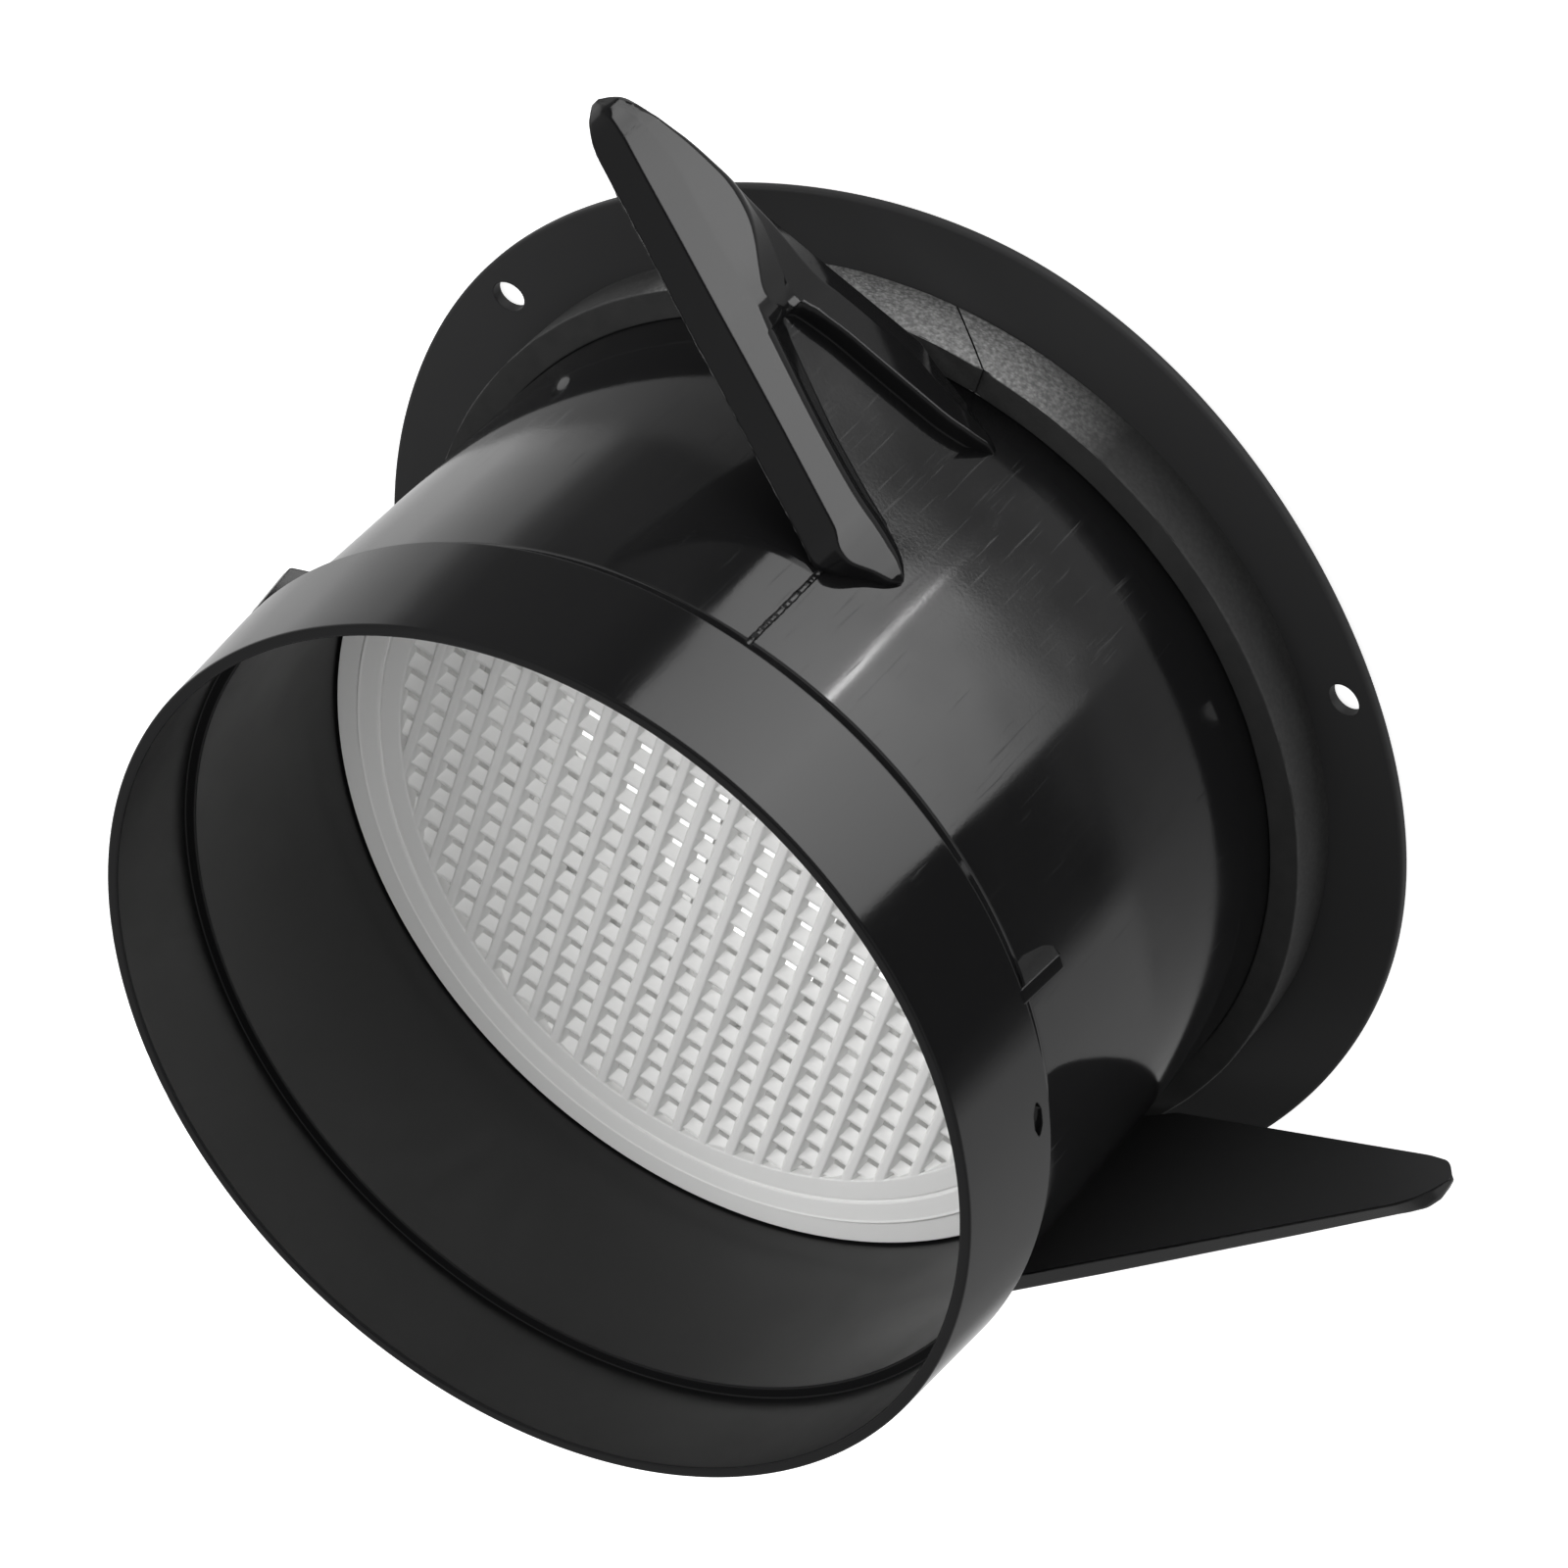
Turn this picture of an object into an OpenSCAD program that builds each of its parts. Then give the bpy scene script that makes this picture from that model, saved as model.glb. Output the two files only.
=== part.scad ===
// Adjustable air vent for a round duct.
// A flanged housing with three barbed wings and a foam seal carries a turning core:
// a drum with a grid at its back and eleven linked blades near its front.
// The flange's front face lies at height 0, the duct mouth points up,
// and the blades and the grid's bars run along X and Y.

/* [Neck] */
// Outside diameter of the neck
neck_d = 148.4; // [140:0.1:160]
// Wall of the neck
neck_wall = 1.6; // [1.4:0.1:2.4]
// Height from the flange's front face to the collar's shoulder
neck_h = 85.8; // [82:0.1:120]

/* [Collar] */
// Height of the collar that enters the duct
collar_h = 21.6; // [14:0.1:40]
// How far the collar's shoulder stands out from the neck
collar_step = 2.2; // [1.8:0.1:3]
// How much the collar's radius shrinks towards its mouth
collar_taper = 1.4; // [0.5:0.1:1.6]
// Wall of the collar
collar_wall = 1.9; // [1.5:0.1:2.4]
// Thickness of the web between neck and collar
shoulder_t = 1.6; // [1.2:0.1:2.5]
// Height of the sloped band under the shoulder
shoulder_bevel_h = 3.4; // [1:0.1:5]
// How far the sloped band stands out at its top
shoulder_bevel = 0.9; // [0.3:0.1:1.5]

/* [Collar slot] */
// Width of the slot around the collar
slot_w = 7; // [4:0.1:12]
// Height of the slot
slot_h = 2; // [1:0.1:4]
// Height of the slot's middle above the shoulder
slot_rise = 3.1; // [3:0.1:6]
// Azimuth of the slot
slot_az = -66.2; // [-180:0.1:180]

/* [Side tabs] */
// Length of each tab along the neck
tab_len = 11.8; // [6:0.1:16]
// Thickness of each tab
tab_t = 2.4; // [1.5:0.1:4]
// How far a tab's outer edge rises past the shoulder
tab_rise = 1.2; // [0:0.1:2.5]
// Length of the sloped end of a tab
tab_slope = 2.4; // [1:0.1:5]

/* [Flange] */
// Width of the flange beyond the neck
flange_w = 18.3; // [16:0.1:30]
// Thickness of the flange
flange_t = 2; // [1.5:0.1:4]
// Diameter of the screw holes
screw_d = 5.5; // [3:0.1:7]
// Distance from the flange's rim to the middle of a screw hole
screw_inset = 5.8; // [5:0.1:8]
// Azimuth of the first screw hole and side tab
screw_az = 68.4; // [0:0.1:120]

/* [Wings] */
// Azimuth of the first wing's root
wing_az = -1.5; // [-60:0.1:60]
// Angle by which a wing leans out from the tangent
wing_lean = 19; // [15:0.5:24]
// Distance from a wing's root to the middle of its round tip
wing_reach = 67.2; // [55:0.1:80]
// Radius of the round tip
wing_tip_r = 5.4; // [4:0.1:6]
// Height of the tip's middle above the wing's lowest point
wing_tip_rise = 16.7; // [12:0.1:22]
// Height of the mouth-side edge at the root above the wing's lowest point
wing_root_rise = 48.8; // [44:0.1:54]
// Gap between the foam seal and the wing's lowest point
wing_gap = 1.9; // [1:0.1:6]
// Distance from the root to the wing's lowest point
wing_low_s = 13.9; // [8:0.1:20]
// Thickness of the wing's thin mouth-side edge
wing_edge_t = 0.8; // [0.6:0.1:1.5]
// Thickness of the wing at the crest of its face
wing_t = 5.2; // [4.8:0.1:6.5]
// Thickness at the top of the steep wall along the mouth-side edge
wing_side_t = 4.5; // [3.8:0.1:4.7]
// Distance from the mouth-side edge to the rounded top of that wall
wing_side_in = 3.6; // [2.5:0.1:5]
// Radius that rounds the top of that wall
wing_side_r = 1.2; // [0.8:0.1:1.6]
// Thickness along the wing's flange-side edge
wing_low_t = 3.6; // [3.5:0.1:4.4]
// Radius that rounds the wing's flange-side edge
wing_round = 1.7; // [1.2:0.1:1.7]
// Radius of the crest
wing_ridge_r = 3; // [2:0.1:3.2]
// Distance from the mouth-side edge to the crest
wing_ridge_in = 9.4; // [7:0.1:10]
// Outward bow of the wing's flange-side edge
wing_belly = 1.4; // [0:0.1:2]
// How far the wing's thick part stops short of its thin flange-side edge
wing_draft = 1.6; // [0.5:0.1:2.5]
// Depth at which the wing's root starts inside the neck's surface
wing_embed = 0.4; // [0.2:0.1:0.8]
// Length of the rounded foot behind the root
wing_foot_len = 4.7; // [4:0.1:8]
// Drop of the foot below the mouth-side edge at the root
wing_foot_drop = 8.6; // [7:0.1:11]
// Width of the leg on the mouth side of the recess
leg_mouth_w = 16; // [14:0.1:18]
// Distance from the mouth-side edge to the crest of that leg
leg_crest_in = 9.8; // [8:0.1:11]
// Width of the leg on the flange side of the recess
leg_flange_w = 12.7; // [9:0.1:14]
// Distance from the root to the blunt end of the recess between the legs
recess_reach = 30.5; // [24:0.1:33]
// Thickness of the web left under the recess
web_t = 1.2; // [1:0.1:2.5]

/* [Parting ridge] */
// Width of the moulding ridge between collar and wing
ridge_w = 0.9; // [0.5:0.1:2]
// How far the ridge stands out of the neck
ridge_h = 0.4; // [0.2:0.1:0.8]

/* [Foam seal] */
// Height of the foam strip
foam_h = 10.4; // [5:0.1:14]
// Thickness of the foam strip
foam_t = 5.1; // [3:0.1:8]

/* [Core drum] */
// Running gap between the housing and the core
core_gap = 0.35; // [0.2:0.05:0.5]
// Distance from the flange's front face to the drum's front
core_inset = 0.5; // [0:0.1:3]
// Height of the drum
drum_h = 46.3; // [40:0.1:60]
// Wall of the drum
drum_wall = 2; // [1.6:0.1:3]
// Width of the drum's front lip, over all
lip_w = 6.5; // [4:0.1:9]
// Thickness of the front lip
lip_t = 2; // [1:0.1:2.5]
// Height of the snap bead's middle above the drum's front
bead_z = 5.5; // [4:0.1:7]
// Height of the snap bead
bead_w = 1.6; // [1:0.1:3]
// How far the snap bead stands out of the drum
bead_h = 0.75; // [0.6:0.05:0.9]

/* [Grid disc] */
// Thickness of the grid disc's rim
rim_t = 3; // [2.5:0.1:5]
// Width of the rim's low outer step
rim_step_w = 4.45; // [2:0.05:6]
// Width of the rim's raised ring
rim_ring_w = 3.8; // [2:0.1:6]
// Height by which each step of the rim drops
rim_drop = 0.5; // [0.2:0.1:0.8]
// Width of the plain band inside the raised ring
band_w = 4; // [2:0.1:8]
// Thickness of the grid
grid_t = 2; // [1.5:0.1:2.4]
// Spacing of the long bars
long_pitch = 4.87; // [4:0.01:7]
// Distance from the middle of the disc to a long bar
long_shift = 1.86; // [0:0.01:2.4]
// Spacing of the cross bars
cross_pitch = 4.61; // [4:0.01:7]
// Distance from the middle of the disc to a cross bar
cross_shift = 1.45; // [0:0.01:2.3]
// Width of the long bars on the duct side
long_bar_top = 1.1; // [0.6:0.05:1.4]
// Width of the long bars on the room side
long_bar_foot = 2.2; // [1.6:0.05:2.6]
// Width of the cross bars on the duct side
cross_bar_top = 0.6; // [0.4:0.05:1.2]
// Width of the cross bars on the room side
cross_bar_foot = 2.1; // [1.6:0.05:2.6]
// How far the cross bars' tops lie under the long bars' tops
cross_bar_drop = 0.2; // [0.1:0.05:0.6]
// Height of the ring that centres the disc in the drum
spigot_h = 2; // [1:0.1:4]
// Wall of the centring ring
spigot_wall = 2; // [1.2:0.1:3]
// Gap between the centring ring and the drum
spigot_gap = 0.3; // [0.1:0.05:0.5]

/* [Blades] */
// Distance from the drum's inside to the middle of the outermost blade
blade_edge = 10.25; // [9:0.05:14]
// How far a blade's chord exceeds the blade spacing
blade_lap = 1; // [0.2:0.1:2]
// Thickness of a blade
blade_t = 1.4; // [1:0.1:2]
// Gap between a blade's ends and the drum
blade_gap = 0.35; // [0.3:0.05:1]
// Height of the blades' shafts above the drum's front
pivot_z = 11.5; // [11:0.1:15]
// Diameter of a blade's shaft
shaft_d = 3; // [2.4:0.1:3.6]
// Running gap round a shaft and round a link pin
pivot_gap = 0.08; // [0.05:0.01:0.1]
// How far a shaft's ends stay inside the drum's outside
shaft_inset = 1.05; // [1:0.05:1.4]

/* [Link bar] */
// Distance from the middle of the vent to the link bar
link_x = 15; // [12:0.1:17]
// Thickness of the link bar
link_t = 2; // [1.5:0.1:2.6]
// Height of the link bar between its eyes
link_h = 2.6; // [2:0.1:3]
// Diameter of the link bar's eyes
eye_d = 4.6; // [4:0.1:5]
// Diameter of the link pins
link_pin_d = 2; // [1.6:0.1:2.2]
// Distance from a blade's shaft to its link pin
link_arm = 5; // [4.8:0.1:5.4]
// Side gap between the link bar and a blade's notch
notch_gap = 1; // [0.5:0.1:1.5]
// Distance from a blade's shaft to the bottom of its notch
notch_rise = 1.2; // [0.8:0.1:1.4]

/* [Hidden] */
$fn = 128;

// Small overrun that lets cuts pass cleanly through a face
over = 1;
// Number of wings, screw holes and tabs
thirds = 3;
// Number of blades
blade_count = 11;

// Radii of the neck, the collar and the flange
neck_r = neck_d / 2;
bore_r = neck_r - neck_wall;
collar_r = neck_r + collar_step;
mouth_r = collar_r - collar_taper;
flange_r = neck_r + flange_w;
mouth_z = neck_h + collar_h;
screw_pcr = flange_r - screw_inset;

// Foam seal and the wings' heights
foam_top = flange_t + foam_h;
wing_low_z = foam_top + wing_gap;
wing_tip_z = wing_low_z + wing_tip_rise;
wing_top_z = wing_low_z + wing_root_rise;

// Slope of the wing's mouth-side edge, which touches the round tip
tip_far = norm([wing_reach, wing_tip_z - wing_top_z]);
edge_a = atan2(wing_tip_z - wing_top_z, wing_reach) + asin(wing_tip_r / tip_far);
function mouth_edge(s, inset) = wing_top_z + s * tan(edge_a) - inset / cos(edge_a);

// Slope of the wing's flange-side edge, which touches the tip from below
low_far = norm([wing_reach - wing_low_s, wing_tip_rise]);
low_a = atan2(wing_tip_rise, wing_reach - wing_low_s) - asin(wing_tip_r / low_far);
function low_edge(s, inset) = wing_low_z + (s - wing_low_s) * tan(low_a) + inset / cos(low_a);

// Core drum
drum_r = bore_r - core_gap;
drum_in = drum_r - drum_wall;
drum_top = core_inset + drum_h;
bead_r = drum_r + bead_h;
lip_in = drum_r - lip_w;

// Grid disc, measured from the drum's outside inwards
rim_top = drum_top + rim_t;
step_r = drum_r - rim_step_w;
ring_r = step_r - rim_ring_w;
grid_r = ring_r - band_w;
grid_top = rim_top - rim_drop;
grid_low = grid_top - grid_t;
long_count = ceil(grid_r / long_pitch);
cross_count = ceil(grid_r / cross_pitch);

// Blades and link bar
blade_pitch = 2 * (drum_in - blade_edge) / (blade_count - 1);
chord = blade_pitch + blade_lap;
blade_z = core_inset + pivot_z;
blade_fit = drum_in - blade_gap;
link_z = blade_z + link_arm;
function blade_y(i) = (i - (blade_count + 1) / 2) * blade_pitch;

// Ring with a rectangular section
module ring(r_out, r_in, low, high) {
  translate([0, 0, low])
    difference() {
      cylinder(r = r_out, h = high - low);
      translate([0, 0, -over]) cylinder(r = r_in, h = high - low + 2 * over);
    }
}

// Copies spread evenly around the vent
module around(first) {
  for (k = [0 : thirds - 1]) rotate([0, 0, first + k * 360 / thirds]) children();
}

// Flange, neck and collar as one turned shape
module shell() {
  rotate_extrude()
    polygon([
      [bore_r, 0],
      [flange_r, 0],
      [flange_r, flange_t],
      [neck_r, flange_t],
      [neck_r, neck_h - shoulder_bevel_h],
      [neck_r + shoulder_bevel, neck_h - shoulder_t / 2],
      [collar_r, neck_h],
      [mouth_r, mouth_z],
      [mouth_r - collar_wall, mouth_z],
      [collar_r - collar_wall, neck_h + shoulder_t],
      [bore_r, neck_h + shoulder_t]
    ]);
}

// Places a wing's own frame: x along the wing, y up, z out of the wing's face
module wing_frame() {
  translate([neck_r - wing_embed, 0, 0])
    rotate([90, 0, 90 - wing_lean]) children();
}

// Rounded corner of a wing at distance s and height z, as high as the wing is thick there
module wing_ball(s, z, r, thick) {
  translate([s, z, thick - r]) sphere(r = r, $fn = 32);
}

// Outer form of one wing: a thin mouth-side edge that swells to the full thickness
module wing_body() {
  mid_s = (wing_low_s + wing_reach) / 2 + over;
  end_s = wing_reach - wing_round;
  low_in = wing_draft + wing_round;
  tip_in = wing_tip_r - wing_round;
  hull() {
    linear_extrude(wing_edge_t)
      polygon([
        [0, wing_top_z],
        [0, wing_low_z + wing_round + wing_draft / 2],
        [wing_low_s, wing_low_z + wing_edge_t]
      ]);
    translate([wing_reach, wing_tip_z, 0])
      cylinder(r = wing_tip_r, h = wing_edge_t, $fn = 32);
    wing_ball(-wing_foot_len, wing_top_z - wing_foot_drop, wing_ridge_r, wing_t);
    wing_ball(0, mouth_edge(0, wing_ridge_in), wing_ridge_r, wing_t);
    wing_ball(wing_reach - wing_tip_r, wing_tip_z - wing_edge_t, wing_ridge_r, wing_t);
    wing_ball(0, mouth_edge(0, wing_side_in), wing_side_r, wing_side_t);
    wing_ball(end_s, mouth_edge(end_s, wing_side_in), wing_side_r, wing_side_t);
    wing_ball(wing_low_s, wing_low_z + low_in, wing_round, wing_low_t);
    wing_ball(mid_s, low_edge(mid_s, low_in - wing_belly), wing_round, wing_low_t);
    wing_ball(end_s, low_edge(end_s, low_in - wing_belly), wing_round, wing_low_t);
    wing_ball(wing_reach + tip_in / 2, wing_tip_z - tip_in * sin(60), wing_round, wing_low_t);
    wing_ball(-wing_foot_len / 3, wing_low_z + low_in + wing_round, wing_round, wing_low_t);
  }
}

// Slope from the crest of the mouth-side leg down to the web
module leg_slope() {
  end_drop = wing_top_z - mouth_edge(recess_reach, leg_mouth_w);
  end_x = recess_reach * cos(edge_a) - end_drop * sin(edge_a);
  slope_len = end_x + 6 * wing_foot_len;
  translate([0, wing_top_z, 0])
    rotate([0, 0, edge_a])
      translate([end_x - slope_len, 0, 0])
        rotate([90, 0, 90])
          linear_extrude(slope_len)
            polygon([
              [-leg_crest_in, wing_t],
              [-leg_mouth_w, web_t],
              [-leg_mouth_w - over, web_t],
              [-leg_mouth_w - over, wing_t + over],
              [-leg_crest_in, wing_t + over]
            ]);
}

// Recess between the wing's two legs, open towards the root
module wing_recess() {
  back_s = -2 * wing_foot_len;
  foot_low = wing_top_z - wing_foot_drop - wing_ridge_r;
  translate([0, 0, web_t])
    linear_extrude(wing_t)
      polygon([
        [recess_reach, mouth_edge(recess_reach, leg_mouth_w)],
        [-1.5, mouth_edge(-1.5, leg_mouth_w)],
        [-wing_foot_len - 1, foot_low],
        [back_s, foot_low + 3],
        [back_s, wing_low_z + 1],
        [-1, low_edge(-1, leg_flange_w)],
        [recess_reach, low_edge(recess_reach, leg_flange_w)]
      ]);
}

// One wing standing on the neck
module wing() {
  wing_frame()
    difference() {
      wing_body();
      wing_recess();
      leg_slope();
    }
}

// Small gusset under the collar's shoulder
module side_tab() {
  rotate([90, 0, 0])
    translate([0, 0, -tab_t / 2])
      linear_extrude(tab_t)
        polygon([
          [neck_r - neck_wall / 2, neck_h - tab_len],
          [neck_r + shoulder_bevel, neck_h - tab_len],
          [collar_r + tab_rise, neck_h - tab_len + tab_slope],
          [collar_r, neck_h],
          [collar_r, neck_h + over],
          [neck_r - neck_wall / 2, neck_h + over]
        ]);
}

// Housing: flange, neck, collar, wings and tabs in one moulding
module housing() {
  ridge_low = wing_top_z - wing_foot_drop;
  color([0.09, 0.09, 0.09])
    difference() {
      union() {
        shell();
        around(wing_az) wing();
        around(screw_az) side_tab();
        around(wing_az)
          translate([neck_r - neck_wall / 2, -ridge_w / 2, ridge_low])
            cube([neck_wall / 2 + ridge_h, ridge_w, neck_h - ridge_low]);
      }
      translate([0, 0, -over]) cylinder(r = bore_r, h = neck_h + shoulder_t + over);
      ring(bead_r + core_gap, bore_r - over,
           core_inset + bead_z - bead_w / 2 - core_gap,
           core_inset + bead_z + bead_w / 2 + core_gap);
      around(screw_az)
        translate([screw_pcr, 0, -over]) cylinder(d = screw_d, h = flange_t + 2 * over);
      rotate([0, 0, slot_az])
        translate([mouth_r - 2 * collar_wall, -slot_w / 2, neck_h + slot_rise - slot_h / 2])
          cube([4 * collar_wall, slot_w, slot_h]);
    }
}

// Foam strip wrapped round the neck on the flange's back face
module foam_seal() {
  color([0.16, 0.16, 0.16]) ring(neck_r + foam_t, neck_r, flange_t, foam_top);
}

// Drum of the turning core, with its front lip, snap bead and shaft bores
module core_ring() {
  color("white")
    difference() {
      union() {
        ring(drum_r, drum_in, core_inset, drum_top);
        ring(drum_r, lip_in, core_inset, core_inset + lip_t);
        ring(bead_r, drum_in, core_inset + bead_z - bead_w / 2, core_inset + bead_z + bead_w / 2);
      }
      for (i = [1 : blade_count])
        translate([0, blade_y(i), blade_z])
          rotate([0, 90, 0])
            cylinder(d = shaft_d + 2 * pivot_gap, h = 2 * drum_r + 2 * over, center = true, $fn = 48);
    }
}

// Straight bar with sloping sides, along X
module grid_bar(top_w, foot_w, top_z) {
  translate([-grid_r - over, 0, 0])
    rotate([90, 0, 90])
      linear_extrude(2 * grid_r + 2 * over)
        polygon([
          [-foot_w / 2, grid_low],
          [foot_w / 2, grid_low],
          [top_w / 2, top_z],
          [-top_w / 2, top_z]
        ]);
}

// Grid of crossing bars, cut to the round window of the disc
module grid_field() {
  intersection() {
    union() {
      for (i = [-long_count : long_count])
        translate([0, long_shift + i * long_pitch, 0])
          grid_bar(long_bar_top, long_bar_foot, grid_top);
      for (i = [-cross_count : cross_count])
        translate([cross_shift + i * cross_pitch, 0, 0])
          rotate([0, 0, 90])
            grid_bar(cross_bar_top, cross_bar_foot, grid_top - cross_bar_drop);
    }
    translate([0, 0, grid_low]) cylinder(r = grid_r + rim_drop, h = grid_t);
  }
}

// Grid disc that closes the drum's back
module grid_disc() {
  color("white")
    union() {
      rotate_extrude()
        polygon([
          [grid_r, grid_low],
          [ring_r, drum_top],
          [drum_in - spigot_gap - spigot_wall, drum_top],
          [drum_in - spigot_gap - spigot_wall, drum_top - spigot_h],
          [drum_in - spigot_gap, drum_top - spigot_h],
          [drum_in - spigot_gap, drum_top],
          [drum_r, drum_top],
          [drum_r, rim_top - 2 * rim_drop],
          [step_r, rim_top - 2 * rim_drop],
          [step_r, rim_top],
          [ring_r, rim_top],
          [ring_r, grid_top],
          [grid_r, grid_top]
        ]);
      grid_field();
    }
}

// Blade number i: a flat plate on a round shaft, its ends cut to clear the drum
module blade(i) {
  y = blade_y(i);
  reach = abs(y) + blade_t / 2;
  notch_w = link_t + 2 * notch_gap;
  color("white")
    translate([0, y, blade_z])
      union() {
        difference() {
          rotate([90, 0, 0])
            linear_extrude(blade_t, center = true)
              intersection() {
                translate([0, -reach]) circle(r = blade_fit);
                translate([0, reach]) circle(r = blade_fit);
                square([2 * blade_fit, chord], center = true);
              }
          translate([link_x - notch_w / 2, -blade_t, notch_rise])
            cube([notch_w, 2 * blade_t, chord]);
        }
        intersection() {
          rotate([0, 90, 0]) cylinder(d = shaft_d, h = 2 * drum_r, center = true, $fn = 48);
          translate([0, -y, -shaft_d]) cylinder(r = drum_r - shaft_inset, h = 2 * shaft_d);
        }
        translate([link_x - notch_w / 2 - blade_t / 2, 0, link_arm])
          rotate([0, 90, 0])
            cylinder(d = link_pin_d, h = notch_w + blade_t, $fn = 48);
      }
}

module blade_1() { blade(1); }
module blade_2() { blade(2); }
module blade_3() { blade(3); }
module blade_4() { blade(4); }
module blade_5() { blade(5); }
module blade_6() { blade(6); }
module blade_7() { blade(7); }
module blade_8() { blade(8); }
module blade_9() { blade(9); }
module blade_10() { blade(10); }
module blade_11() { blade(11); }

// Link bar with one eye for each blade's link pin
module link_bar() {
  span = blade_y(blade_count) - blade_y(1);
  color("white")
    translate([link_x - link_t / 2, 0, link_z])
      difference() {
        union() {
          translate([0, -span / 2, -link_h / 2]) cube([link_t, span, link_h]);
          for (i = [1 : blade_count])
            translate([0, blade_y(i), 0])
              rotate([0, 90, 0]) cylinder(d = eye_d, h = link_t, $fn = 48);
        }
        for (i = [1 : blade_count])
          translate([-over, blade_y(i), 0])
            rotate([0, 90, 0])
              cylinder(d = link_pin_d + 2 * pivot_gap, h = link_t + 2 * over, $fn = 48);
      }
}

housing();
foam_seal();
core_ring();
grid_disc();
link_bar();
blade_1();
blade_2();
blade_3();
blade_4();
blade_5();
blade_6();
blade_7();
blade_8();
blade_9();
blade_10();
blade_11();
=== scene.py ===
# %% [markdown]
# # An adjustable air vent, seen from its duct side
#
# The vent is a short black plastic tube with a wide flange. Three barbed wings
# hold it behind a ceiling board, a foam strip seals it, and a white grid sits
# deep inside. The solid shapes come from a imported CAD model. This script adds
# what a CAD model lacks: soft forms, moulding marks, finishes, light and camera.

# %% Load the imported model
import math

import bmesh
import bpy
from mathutils import Matrix, Vector, noise


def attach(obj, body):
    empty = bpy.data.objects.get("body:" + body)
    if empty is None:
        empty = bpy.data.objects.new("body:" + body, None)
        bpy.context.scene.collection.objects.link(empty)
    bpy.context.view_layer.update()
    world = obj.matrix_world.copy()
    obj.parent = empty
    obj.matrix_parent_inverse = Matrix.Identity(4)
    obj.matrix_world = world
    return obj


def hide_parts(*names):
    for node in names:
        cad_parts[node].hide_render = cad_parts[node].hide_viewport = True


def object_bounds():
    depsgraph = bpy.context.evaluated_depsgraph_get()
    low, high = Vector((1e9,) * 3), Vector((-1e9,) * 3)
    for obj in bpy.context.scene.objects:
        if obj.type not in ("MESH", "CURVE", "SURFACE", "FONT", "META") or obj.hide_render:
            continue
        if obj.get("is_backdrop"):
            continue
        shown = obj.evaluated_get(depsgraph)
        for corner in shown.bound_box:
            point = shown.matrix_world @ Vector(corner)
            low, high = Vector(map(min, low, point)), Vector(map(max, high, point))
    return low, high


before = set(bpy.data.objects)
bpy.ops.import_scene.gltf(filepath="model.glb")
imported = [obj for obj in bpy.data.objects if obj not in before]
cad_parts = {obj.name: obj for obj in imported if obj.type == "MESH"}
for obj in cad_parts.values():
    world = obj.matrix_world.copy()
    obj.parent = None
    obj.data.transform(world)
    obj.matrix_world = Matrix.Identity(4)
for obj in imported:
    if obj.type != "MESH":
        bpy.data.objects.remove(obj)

cad_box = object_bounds()

# %% [markdown]
# ## The camera
#
# The photograph was taken from about a metre away with a long lens. A long lens
# keeps the round rims close to true ellipses. We give the camera a place, a
# heading and a pitch, and then roll it, because in the photograph the vent lies
# on its side while in our scene it stands on its flange.

# %% Camera
camera_place = Vector((0.6816, -0.2002, 0.7012))   # metres
camera_heading = math.radians(163.50)   # direction of view, round from +X
camera_pitch = math.radians(-43.378)    # below the horizon
camera_roll = math.radians(-135.744)    # turn of the picture
sensor_width = 36.0                     # mm
lens = 144.17                           # mm

camera_data = bpy.data.cameras.new("camera")
camera_data.sensor_width = sensor_width
camera_data.lens = lens
camera_data.clip_start = 0.01
camera = bpy.data.objects.new("camera", camera_data)
bpy.context.scene.collection.objects.link(camera)
camera.matrix_world = (
    Matrix.Translation(camera_place)
    @ Matrix.Rotation(camera_heading - math.pi / 2, 4, "Z")
    @ Matrix.Rotation(camera_pitch + math.pi / 2, 4, "X")
    @ Matrix.Rotation(camera_roll, 4, "Z")
)
bpy.context.scene.camera = camera
bpy.context.scene.view_settings.view_transform = "Standard"
print("camera is", round(camera_place.length, 3), "m from the flange's centre")

# %% [markdown]
# ## Small helpers for node materials
#
# A procedural material is a chain of nodes. A few helpers keep the cells short:
# one makes a material, one adds a node and fills its sockets, and the others
# make noise, stretch a value to a new range and turn a value into relief.

# %% Material helpers
def new_material(name):
    """A material, its node tree and its main shader."""
    material = bpy.data.materials.new(name)
    material.use_nodes = True
    tree = material.node_tree
    return material, tree, tree.nodes["Principled BSDF"]


def add(tree, kind, values=None, **settings):
    """A node of this kind, with its settings and its sockets' values."""
    node = tree.nodes.new("ShaderNode" + kind)
    for setting, value in settings.items():
        setattr(node, setting, value)
    for socket, value in (values or {}).items():
        node.inputs[socket].default_value = value
    return node


def patches(tree, size, detail=3.0, stretch=None):
    """Noise whose blobs are about size metres, in the piece's own space."""
    place = add(tree, "TexCoord").outputs["Object"]
    if stretch:
        mapping = add(tree, "Mapping", {"Scale": stretch})
        tree.links.new(place, mapping.inputs["Vector"])
        place = mapping.outputs["Vector"]
    texture = add(tree, "TexNoise", {"Scale": 1 / size, "Detail": detail})
    tree.links.new(place, texture.inputs["Vector"])
    return texture.outputs["Fac"]


def remap(tree, source, low, high, to_low, to_high):
    """Turns a value between low and high into one between two others."""
    node = add(tree, "MapRange", {
        "From Min": low, "From Max": high, "To Min": to_low, "To Max": to_high,
    })
    tree.links.new(source, node.inputs["Value"])
    return node.outputs["Result"]


def bump(tree, height, depth, under=None):
    """Small relief: height from 0 to 1 stands for depth metres."""
    node = add(tree, "Bump", {"Strength": 1.0, "Distance": depth})
    tree.links.new(height, node.inputs["Height"])
    if under:
        tree.links.new(under, node.inputs["Normal"])
    return node.outputs["Normal"]


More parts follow.
